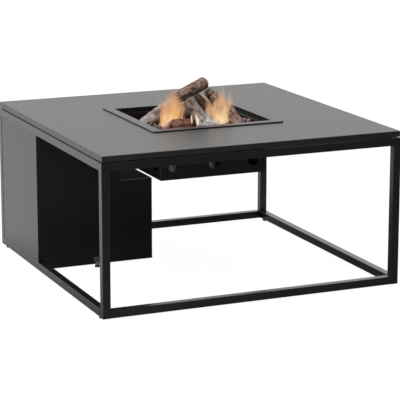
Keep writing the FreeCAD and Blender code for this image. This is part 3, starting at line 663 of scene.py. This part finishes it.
bark_group = build_bark()
print("bark group outputs", [s.name for s in bark_group.interface.items_tree
                             if s.in_out == "OUTPUT"])

# %% Bark material
# The colour of the painted shade on the logs' undersides.
underside_shade_tone = (0.014, 0.012, 0.011)


def scaled(tree, mask, amount):
    """A mask times a number, held between 0 and 1."""
    return maths(tree, "MULTIPLY", mask, amount, clamp=True)


def bark_material(name, wash, brush, patch, patch_amount=0.5, fleck=(0.012, 0.01, 0.009),
                  fleck_amount=0.5, underside_shade=0.6, foot=None, foot_amount=0.0, foot_end=0.45,
                  glow=0.0):
    """Wash in the furrows, dry brush on the ridges, patches, flecks, a foot colour near
    the fire, and a painted shade below. glow lights the flecks near the foot."""
    material, t, skin = new_material(name)
    bark = group_node(t, bark_group, Streaks=130.0)
    colour = tones(t, bark["Ridges"], wash, brush)
    colour = tones(t, scaled(t, bark["Patches"], patch_amount), colour, patch)
    near = spread(t, attribute(t, "run")["Fac"], foot_end, foot_end * 0.35, smooth=True)
    if foot:
        share = maths(t, "MULTIPLY", near, bark["Ridges"])
        colour = tones(t, scaled(t, share, foot_amount), colour, foot)
    colour = tones(t, scaled(t, bark["Flecks"], fleck_amount), colour, fleck)
    # Painted shade: what faces down is darkened towards a near black.
    colour = tones(t, scaled(t, bark["Underside_Shade"], underside_shade), colour, underside_shade_tone)
    fill(t, skin, {"Base Color": colour, "Specular IOR Level": 0.2,
                   "Roughness": spread(t, bark["Ridges"], 0.0, 1.0, 0.75, 0.95),
                   "Normal": bumped(t, bark["Height"], 0.0016, 0.8)})
    if glow:
        alight = maths(t, "MULTIPLY", near, bark["Flecks"])
        fill(t, skin, {"Emission Color": tones(t, alight, (0.0, 0.0, 0.0), (1.0, 0.16, 0.06)),
                       "Emission Strength": glow})
    return material


# The painted shade on the undersides lies over every log's paint.
print("underside_shade", underside_shade_tone, "lies over every log's paint")

# %% [markdown]
# ## Eight logs
#
# The log across the top is brown and the one that leans in the middle is the thickest,
# ashy with a white foot. The others differ too: one grey and pink, one dark, one red,
# two that lie at the back, and a short charred one at the front that glows. Each gets its
# own numbers and its own seed.

# %% Paint the logs
# Each log also sets how strong the painted shade on its underside is.
log_paint = {
    "log_crown": bark_material("bark_brown", (0.07, 0.045, 0.036), (0.47, 0.32, 0.26),
                               (0.24, 0.12, 0.088), 0.4, underside_shade=0.55),
    "log_back": bark_material("bark_peeled", (0.05, 0.03, 0.022), (0.22, 0.14, 0.1),
                              (0.62, 0.52, 0.44), 0.5, underside_shade=0.6),
    "log_rear": bark_material("bark_rear", (0.03, 0.022, 0.017), (0.19, 0.13, 0.1),
                              (0.3, 0.24, 0.2), 0.4),
    "log_dark": bark_material("bark_dark", (0.028, 0.015, 0.011), (0.19, 0.105, 0.07),
                              (0.07, 0.034, 0.022), 0.5, underside_shade=0.5),
    "log_left": bark_material("bark_grey_pink", (0.14, 0.105, 0.1), (0.6, 0.52, 0.5),
                              (0.42, 0.3, 0.27), 0.4, foot=(0.38, 0.28, 0.29),
                              foot_amount=0.5, foot_end=0.3, glow=0.05, underside_shade=0.45),
    "log_centre": bark_material("bark_ash", (0.06, 0.043, 0.033), (0.3, 0.225, 0.185),
                                (0.3, 0.27, 0.25), 0.4, foot=(0.7, 0.7, 0.7),
                                foot_amount=0.95, foot_end=0.56, fleck=(0.05, 0.045, 0.042),
                                fleck_amount=0.6, underside_shade=0.4),
    "log_right": bark_material("bark_red", (0.12, 0.062, 0.045), (0.46, 0.29, 0.225),
                               (0.5, 0.36, 0.3), 0.45, underside_shade=0.45),
    "log_front": bark_material("bark_embers", (0.09, 0.036, 0.028), (0.38, 0.2, 0.155),
                               (0.17, 0.075, 0.062), 0.5, fleck=(0.4, 0.2, 0.16),
                               foot_end=2.2, glow=0.08, underside_shade=0.35),
}
print("log paints", len(log_paint))

# %% Cast the logs
log_casts = {
    "log_crown": dict(radius=0.022, seed=11, bark=0.18, lobes=0.12, taper=-0.02, bend=0.03,
                      blunt=0.72, most=0.94,
                      knots=((0.78, 0.74, 0.16), (0.1, 0.3, 0.12))),
    "log_back": dict(radius=0.018, seed=23, knots=((0.6, 0.6, 0.2),)),
    "log_rear": dict(radius=0.022, seed=31, knots=((0.25, 0.3, 0.2), (0.7, 0.7, 0.2))),
    "log_dark": dict(radius=0.020, seed=43, bark=0.2, knots=((0.4, 0.5, 0.2),)),
    "log_left": dict(radius=0.022, seed=57, bend=0.12, knots=((0.8, 0.55, 0.18),)),
    "log_centre": dict(radius=0.023, seed=61, bark=0.22, knots=((0.62, 0.35, 0.2),)),
    "log_right": dict(radius=0.021, seed=73, knots=((0.15, 0.5, 0.18),)),
    "log_front": dict(radius=0.021, seed=89, bark=0.24, plates=7, knots=((0.7, 0.5, 0.2),)),
}
for node, cast in log_casts.items():
    foot, head = log_line(node, cast["radius"])
    points, faces, fields = branch(foot, head, **cast)
    piece = new_piece(node + "_bark", points, faces, log_paint[node], (node,),
                      fields)
    print(piece.name, len(piece.data.polygons), "faces, length",
          round(float(np.linalg.norm(head - foot)), 3))

# %% [markdown]
# ## Lava stones and embers
#
# Broken stone has flat faces that meet in worn edges. A direction from the middle meets
# many cutting planes, and the nearest one gives the distance, so the shape is a soft
# minimum over the planes, plus a pitted relief. The places and sizes come from the
# solids in the frame, which are told apart by the corners that their faces share.

# %% Where the stones lie


def loose_lumps(node):
    """The boxes of a node's separate solids. Corners that share a face or a place take
    the lowest number among them, again and again, until nothing changes."""
    mesh = frame["nodes"][node].data
    co = np.empty(len(mesh.vertices) * 3)
    mesh.vertices.foreach_get("co", co)
    co = co.reshape(-1, 3)
    same = np.unique(np.round(co, 6), axis=0, return_inverse=True)[1].ravel()
    corner = np.empty(len(mesh.loops), np.int32)
    mesh.loops.foreach_get("vertex_index", corner)
    faces = same[corner].reshape(-1, 3)
    label = np.arange(same.max() + 1)
    while True:
        lowest = label.copy()
        np.minimum.at(lowest, faces.ravel(), np.repeat(label[faces].min(1), 3))
        if (lowest == label).all():
            break
        label = lowest
    groups = label[same]
    return [(co[groups == g].min(0), co[groups == g].max(0)) for g in np.unique(groups)]


rock_boxes, ember_boxes = loose_lumps("lava_rocks"), loose_lumps("ember_lumps")
print("rocks", len(rock_boxes), "embers", len(ember_boxes))

# %% Stone surface
cut_count = 16              # planes that cut a stone
sharpness = 14              # power of the soft minimum: higher, sharper edges


def stone(low, high, seed, rows, cols, pits=0.06):
    """Distance along a direction is a soft minimum of plane offset over the cosine to
    each plane's own direction, scaled to fill the box from low to high."""
    rng = np.random.default_rng(seed)
    theta = np.linspace(0, np.pi, rows + 2)[:, None]
    phi = 2 * np.pi * np.arange(cols)[None, :] / cols
    way = np.stack([np.sin(theta) * np.cos(phi), np.sin(theta) * np.sin(phi),
                    -np.cos(theta) * np.ones_like(phi)], -1)
    cuts = rng.normal(size=(cut_count, 3))
    cuts = cuts / np.linalg.norm(cuts, axis=1)[:, None]
    offset = rng.uniform(0.72, 1.0, cut_count)
    facing = np.clip(way @ cuts.T, 0.02, None)
    reach = np.sum((facing / offset) ** sharpness, -1) ** (-1 / sharpness)
    pitted = smooth_random(phi / (2 * np.pi) * 9 * np.ones_like(theta), theta * 3 + 0 * phi,
                           seed + 1)
    shape = way * (reach * (1 - pits * pitted))[..., None]
    shape = np.vstack([shape[0].mean(0), shape[1:-1].reshape(-1, 3), shape[-1].mean(0)])
    span = shape.max(0) - shape.min(0)
    return low + (shape - shape.min(0)) / span * (high - low)


def stones(name, boxes, material, seed, stands_for=(), rows=16, cols=22):
    """Stones that fill their boxes, as one piece."""
    points, faces = [], []
    for n, (low, high) in enumerate(boxes):
        points.append(stone(low, high, seed + 5 * n, rows, cols))
        faces += closed_faces(rows, cols, n * (rows * cols + 2))
    return new_piece(name, np.vstack(points), faces, material, stands_for)


print("a stone has", len(closed_faces(16, 22)), "faces")

# %% [markdown]
# ## Stone finishes
#
# Lava is a dark porous rock: its pores are cells that sink where a cell's middle is
# near. The embers are the same lumps painted in red and grey, and a little light comes
# out of them in patches.

# %% Stone paint


def stone_material(name, low, high, crack, pores=420.0, glow=0.0, glow_tone=(1.0, 0.2, 0.05)):
    """Two tones by noise, dark pores in colour and bump, and light in patches of the noise."""
    material, t, skin = new_material(name)
    where = object_place(t)
    cloud, pore = noise(t, where, 120.0, 5.0, 0.65), cells(t, where, pores)
    colour = tones(t, spread(t, cloud, 0.4, 0.62), low, high)
    colour = tones(t, spread(t, pore, 0.45, 0.12), colour, crack)
    fill(t, skin, {"Base Color": colour, "Specular IOR Level": 0.25,
                   "Roughness": spread(t, cloud, 0.0, 1.0, 0.8, 0.97),
                   "Normal": bumped(t, pore, 0.0012, 0.9)})
    if glow:
        light = tones(t, spread(t, cloud, 0.56, 0.7), (0.0, 0.0, 0.0), glow_tone)
        fill(t, skin, {"Emission Color": light, "Emission Strength": glow})
    return material


lava_paint = stone_material("lava_stone", (0.018, 0.016, 0.015), (0.05, 0.042, 0.038),
                            (0.004, 0.004, 0.004))
ember_paint = stone_material("ember_lump", (0.09, 0.05, 0.045), (0.36, 0.25, 0.22),
                             (0.03, 0.015, 0.012), glow=0.8)
lava = stones("lava_stones", rock_boxes, lava_paint, 300,
              ("lava_rocks",))
embers = stones("ember_stones", ember_boxes, ember_paint, 700,
                ("ember_lumps",), rows=22, cols=30)
print(lava.name, len(lava.data.polygons), embers.name, len(embers.data.polygons))

# %% [markdown]
# ## Loose chips
#
# Bits break off cast logs when they are put in, and makers add a bag of chips for the
# feet of the logs. Two small heaps lie on the grate, at the left and the right. They are
# the same stones, each in its own small box.

# %% Chips
chip_places = np.array([       # x, y, z of the middle, and the width, in millimetres
    (-140, -30, 470, 21), (-143, -52, 470, 20), (-126, -62, 470, 19), (-140, -72, 470, 20),
    (-143, -33, 484, 17), (-134, -48, 483, 18), (-146, -48, 482, 16), (-136, -68, 483, 15),
    (140, -98, 470, 20), (146, -70, 470, 21), (122, -104, 470, 20), (140, -84, 483, 19),
    (128, -99, 482, 17), (147, -68, 484, 16), (118, 60, 470, 20), (128, 30, 470, 18),
    (150, -94, 471, 23), (165, -90, 471, 22), (158, -98, 487, 20), (149, -86, 489, 20),
    (165, -86, 486, 18)]) / 1000
chip_share = np.random.default_rng(77).uniform(0.8, 1.1, (len(chip_places), 3))
chip_middle, chip_reach = chip_places[:, :3], chip_places[:, 3:] / 2 * chip_share
chip_boxes = list(zip(chip_middle - chip_reach, chip_middle + chip_reach))
chip_paint = stone_material("ember_chip", (0.15, 0.1, 0.09), (0.43, 0.33, 0.29),
                            (0.04, 0.02, 0.018), glow=0.12, glow_tone=(1.0, 0.25, 0.2))
chips = stones("ember_chips", chip_boxes, chip_paint, 900)
print(chips.name, len(chips.data.polygons))

# %% [markdown]
# ## Flames
#
# A flame is hot gas that gives light and hides almost nothing behind it. It could be a
# volume, but a volume can't be exported. Thin curved sheets that cross each other stand
# in for it: each is a tongue that narrows to its tip, and a soft mask hides its edges,
# so the sheets melt together. The sheets face several ways, so that a flame has a body
# from every side.

# %% Flame surface


def tongue(foot, tip, width, turn, phase, rows=40, cols=13):
    """Rows rise from foot to tip, columns go across. The half width grows, then closes as
    a root of the height that is left. The middle line eases from foot to tip and sways in
    a growing sine, and the sheet cups like a leaf."""
    v = np.linspace(0.0, 1.0, rows)[:, None]
    u = np.linspace(-1.0, 1.0, cols)[None, :]
    half = width / 2 * (0.66 + 0.7 * v) * (1 - v ** 2.4) ** 0.7
    across = u * half + 0.10 * width * v * np.sin(2 * np.pi * (1.1 * v + phase))
    cup = 0.25 * half * (u ** 2 - 0.4) \
        + 0.08 * width * v * np.sin(2 * np.pi * (0.9 * v + 1.7 * phase))
    c, s = np.cos(np.radians(turn)), np.sin(np.radians(turn))
    ease = v ** 1.25
    x = foot[0] + (tip[0] - foot[0]) * ease + across * c - cup * s
    y = foot[1] + (tip[1] - foot[1]) * ease + across * s + cup * c
    z = foot[2] + (tip[2] - foot[2]) * (v - 0.08 * v * u ** 2)
    return np.stack([x, y, z], -1).reshape(-1, 3), rows, cols


def flame(name, tongues, material, step=0.37):
    """Several tongues as one piece, with a map: u across each tongue, v up it, and a
    number of its own. The last number of a tongue is its heat, 0 orange to 1 yellow."""
    points, faces, maps, heats, count = [], [], [], [], 0
    for n, (foot, tip, width, turn, heat) in enumerate(tongues):
        p, rows, cols = tongue(foot, tip, width, turn, step * n)
        points.append(p)
        faces += (grid_faces(rows, cols, False) + count).tolist()
        u, v = np.meshgrid(np.linspace(0, 1, cols), np.linspace(0, 1, rows))
        maps.append(np.stack([u, v, np.full_like(u, n + step)], -1).reshape(-1, 3))
        heats.append(np.full(len(p), heat))
        count += len(p)
    sheet = np.vstack(maps)
    piece = new_piece(name, np.vstack(points), faces, material,
                      fields={"sheet": sheet, "heat": np.concatenate(heats)})
    corner = np.empty(len(piece.data.loops), np.int32)
    piece.data.loops.foreach_get("vertex_index", corner)
    layer = piece.data.uv_layers.new(name="sheet_map")
    layer.data.foreach_set("uv", sheet[corner, :2].astype(np.float32).ravel())
    return piece


print("a tongue has", len(tongue((0, 0, 0), (0, 0, 0.1), 0.05, 0, 0)[0]), "points")

# %% [markdown]
# ## Light for the flames
#
# Along a tongue the gas goes from a thin blue root to yellow, then orange, then nothing.
# The colour comes from the height on the sheet, shifted by streaks that are drawn out
# upwards. The mask is the product of a soft edge, a soft root, a soft tip and streaks.

# %% Flame material


def ramp(tree, value, stops):
    """A colour ramp through (place, colour) stops."""
    node = add(tree, "ShaderNodeValToRGB", {"Fac": value})
    band = node.color_ramp
    while len(band.elements) < len(stops):
        band.elements.new(0.5)
    for element, (place, tone) in zip(band.elements, stops):
        element.position, element.color = place, (*tone, 1.0)
    return node.outputs["Color"]


def flame_material(name, stops, body, strength):
    """The colour comes from height and streaks, less the tongue's heat. The mask is soft
    torn sides, times soft edges, root and tip, times streaks, times the body."""
    material, t, skin = new_material(name)
    sheet = attribute(t, "sheet")["Vector"]
    place = axes(t, sheet)
    licks = noise(t, stretched(t, sheet, (2.6, 1.7, 5.0)), 1.0, 4.0, 0.55, 0.9)
    shift = maths(t, "MULTIPLY_ADD", licks, 1.1, -0.55)
    rise = maths(t, "ADD", place["Y"], shift, clamp=True)
    hot = maths(t, "MULTIPLY", attribute(t, "heat")["Fac"], -0.55)
    tone = maths(t, "ADD", rise, hot, clamp=True)
    side = maths(t, "ABSOLUTE", maths(t, "MULTIPLY_ADD", place["X"], 2.0, -1.0))
    torn = maths(t, "ADD", side, maths(t, "MULTIPLY_ADD", licks, 0.9, -0.45))
    mask = spread(t, torn, 0.85, 0.2, smooth=True)
    for other in (spread(t, side, 1.0, 0.7, smooth=True),
                  spread(t, place["Y"], 0.0, 0.22, smooth=True),
                  spread(t, rise, 1.0, 0.72, smooth=True),
                  spread(t, licks, 0.4, 0.57, 0.08)):
        mask = maths(t, "MULTIPLY", mask, other)
    fill(t, skin, {"Emission Color": ramp(t, tone, stops), "Emission Strength": strength,
                   "Base Color": (0.0, 0.0, 0.0, 1.0), "Specular IOR Level": 0.0,
                   "Alpha": scaled(t, mask, body)})
    return material


warm_flame = flame_material("flame_warm", (
    (0.0, (1.0, 0.8, 0.5)), (0.12, (1.0, 0.7, 0.36)), (0.3, (0.88, 0.48, 0.2)),
    (0.5, (0.74, 0.39, 0.16)), (0.75, (0.66, 0.35, 0.17)), (1.0, (0.58, 0.36, 0.22))),
    body=0.8, strength=1.12)
pale_flame = flame_material("flame_pale", (
    (0.0, (1.0, 0.78, 0.5)), (0.15, (0.92, 0.69, 0.42)), (0.35, (0.82, 0.57, 0.32)),
    (0.6, (0.74, 0.45, 0.24)), (0.8, (0.7, 0.42, 0.24)), (1.0, (0.62, 0.44, 0.28))),
    body=0.66, strength=1.1)
small_flame = flame_material("flame_small", (
    (0.0, (1.0, 0.72, 0.48)), (0.4, (1.0, 0.8, 0.58)), (0.7, (1.0, 0.84, 0.66)),
    (1.0, (0.95, 0.6, 0.3))), body=1.0, strength=1.1)
core_flame = flame_material("flame_core", (
    (0.0, (1.0, 0.76, 0.44)), (0.5, (1.0, 0.72, 0.4)), (1.0, (0.9, 0.55, 0.26))),
    body=0.85, strength=1.0)
blue_flame = flame_material("flame_blue", (
    (0.0, (0.06, 0.1, 0.3)), (0.6, (0.16, 0.18, 0.34)), (1.0, (0.3, 0.24, 0.28))),
    body=0.5, strength=1.0)
print("flame materials", sum(m.name.startswith("flame_") for m in bpy.data.materials))

# %% [markdown]
# ## Two tall flames and three small ones
#
# Two tall flames stand left and right in the log set, with bright cores low down, and
# three small bright ones lick through the gaps at the front. The burner's tubes are below
# them, under the grate, and the gas burns blue where it starts. Each flame is a few
# tongues, from a foot to a tip. They are turned several ways, so that from any side only
# a few of them are seen from the edge.

# %% Light the burner
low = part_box("log_grate")[1].z + 0.002        # just over the grate
flames = [
    flame("flame_left", [
        ((-0.092, -0.038, low), (-0.084, -0.036, 0.578), 0.092, -22, 0.35),
        ((-0.064, -0.018, low), (-0.056, -0.024, 0.580), 0.070, -40, 0.3),
        ((-0.084, -0.024, low), (-0.075, -0.030, 0.617), 0.056, -30, 0.1),
        ((-0.102, -0.032, low), (-0.097, -0.030, 0.600), 0.052, -52, 0.2),
        ((-0.074, -0.016, low), (-0.066, -0.022, 0.592), 0.060, 14, 0.15),
        ((-0.122, -0.052, low), (-0.124, -0.044, 0.578), 0.052, -5, 0.35),
        ((-0.046, -0.014, low), (-0.034, -0.018, 0.560), 0.044, -15, 0.2),
        ((-0.124, -0.066, 0.478), (-0.112, -0.054, 0.552), 0.050, -25, 1.0),
        ((-0.114, -0.060, 0.480), (-0.090, -0.046, 0.566), 0.050, 8, 0.85),
        ((-0.128, -0.062, 0.478), (-0.126, -0.052, 0.550), 0.034, -60, 0.9),
        ((-0.078, -0.040, low), (-0.068, -0.036, 0.614), 0.062, -20, 0.15),
    ], warm_flame),
    flame("flame_right", [
        ((0.076, -0.064, 0.476), (0.080, -0.042, 0.572), 0.086, -23, 0.5),
        ((0.048, -0.068, 0.478), (0.048, -0.048, 0.552), 0.050, -8, 0.5),
        ((0.084, -0.058, low), (0.098, -0.030, 0.618), 0.060, -28, 0.2),
        ((0.072, -0.058, low), (0.080, -0.034, 0.592), 0.060, -2, 0.25),
        ((0.034, -0.060, 0.478), (0.040, -0.040, 0.572), 0.046, -20, 0.3),
        ((0.052, -0.012, low), (0.050, 0.004, 0.584), 0.050, -25, 0.35),
        ((0.104, -0.052, low), (0.132, -0.014, 0.590), 0.044, -48, 0.1),
        ((0.092, -0.054, low), (0.102, -0.034, 0.568), 0.066, 20, 0.3),
        ((0.060, -0.074, 0.476), (0.068, -0.058, 0.552), 0.076, -38, 0.9),
        ((0.094, -0.062, 0.476), (0.100, -0.044, 0.552), 0.056, -10, 0.8),
        ((0.114, -0.054, 0.476), (0.124, -0.028, 0.566), 0.056, 6, 0.4),
    ], pale_flame),
    flame("flame_cores", [
        ((-0.124, -0.070, 0.476), (-0.110, -0.060, 0.540), 0.040, -25, 0.3),
        ((-0.112, -0.066, 0.478), (-0.092, -0.056, 0.534), 0.036, 10, 0.3),
        ((0.062, -0.076, 0.472), (0.066, -0.066, 0.528), 0.050, -30, 0.5),
        ((0.080, -0.072, 0.472), (0.086, -0.062, 0.538), 0.042, 5, 0.4),
    ], core_flame),
    flame("flames_small", [
        ((-0.047, -0.112, 0.496), (-0.047, -0.112, 0.532), 0.012, -23, 0.2),
        ((-0.047, -0.112, 0.496), (-0.048, -0.111, 0.528), 0.010, 40, 0.2),
        ((-0.032, -0.122, 0.488), (-0.036, -0.120, 0.541), 0.016, -25, 0.2),
        ((-0.032, -0.122, 0.488), (-0.035, -0.121, 0.534), 0.014, 42, 0.2),
        ((-0.029, -0.122, 0.488), (-0.028, -0.120, 0.520), 0.013, -60, 0.2),
        ((0.055, -0.110, 0.492), (0.055, -0.110, 0.515), 0.009, -23, 0.2),
        ((0.055, -0.110, 0.492), (0.056, -0.110, 0.512), 0.008, 45, 0.2),
    ], small_flame),
    flame("flames_blue", [
        ((-0.134, -0.070, 0.470), (-0.136, -0.070, 0.512), 0.026, -25, 0.0),
        ((-0.122, -0.074, 0.470), (-0.124, -0.072, 0.508), 0.022, 20, 0.0),
        ((-0.090, -0.034, low), (-0.090, -0.034, 0.500), 0.070, -23, 0.0),
        ((0.070, -0.062, low), (0.070, -0.060, 0.500), 0.070, -23, 0.0),
        ((0.070, -0.062, low), (0.072, -0.060, 0.498), 0.060, 30, 0.0),
    ], blue_flame),
]
print("flames", [f.name for f in flames], "top", round(max(
    max(v.co.z for v in f.data.vertices) for f in flames), 3))
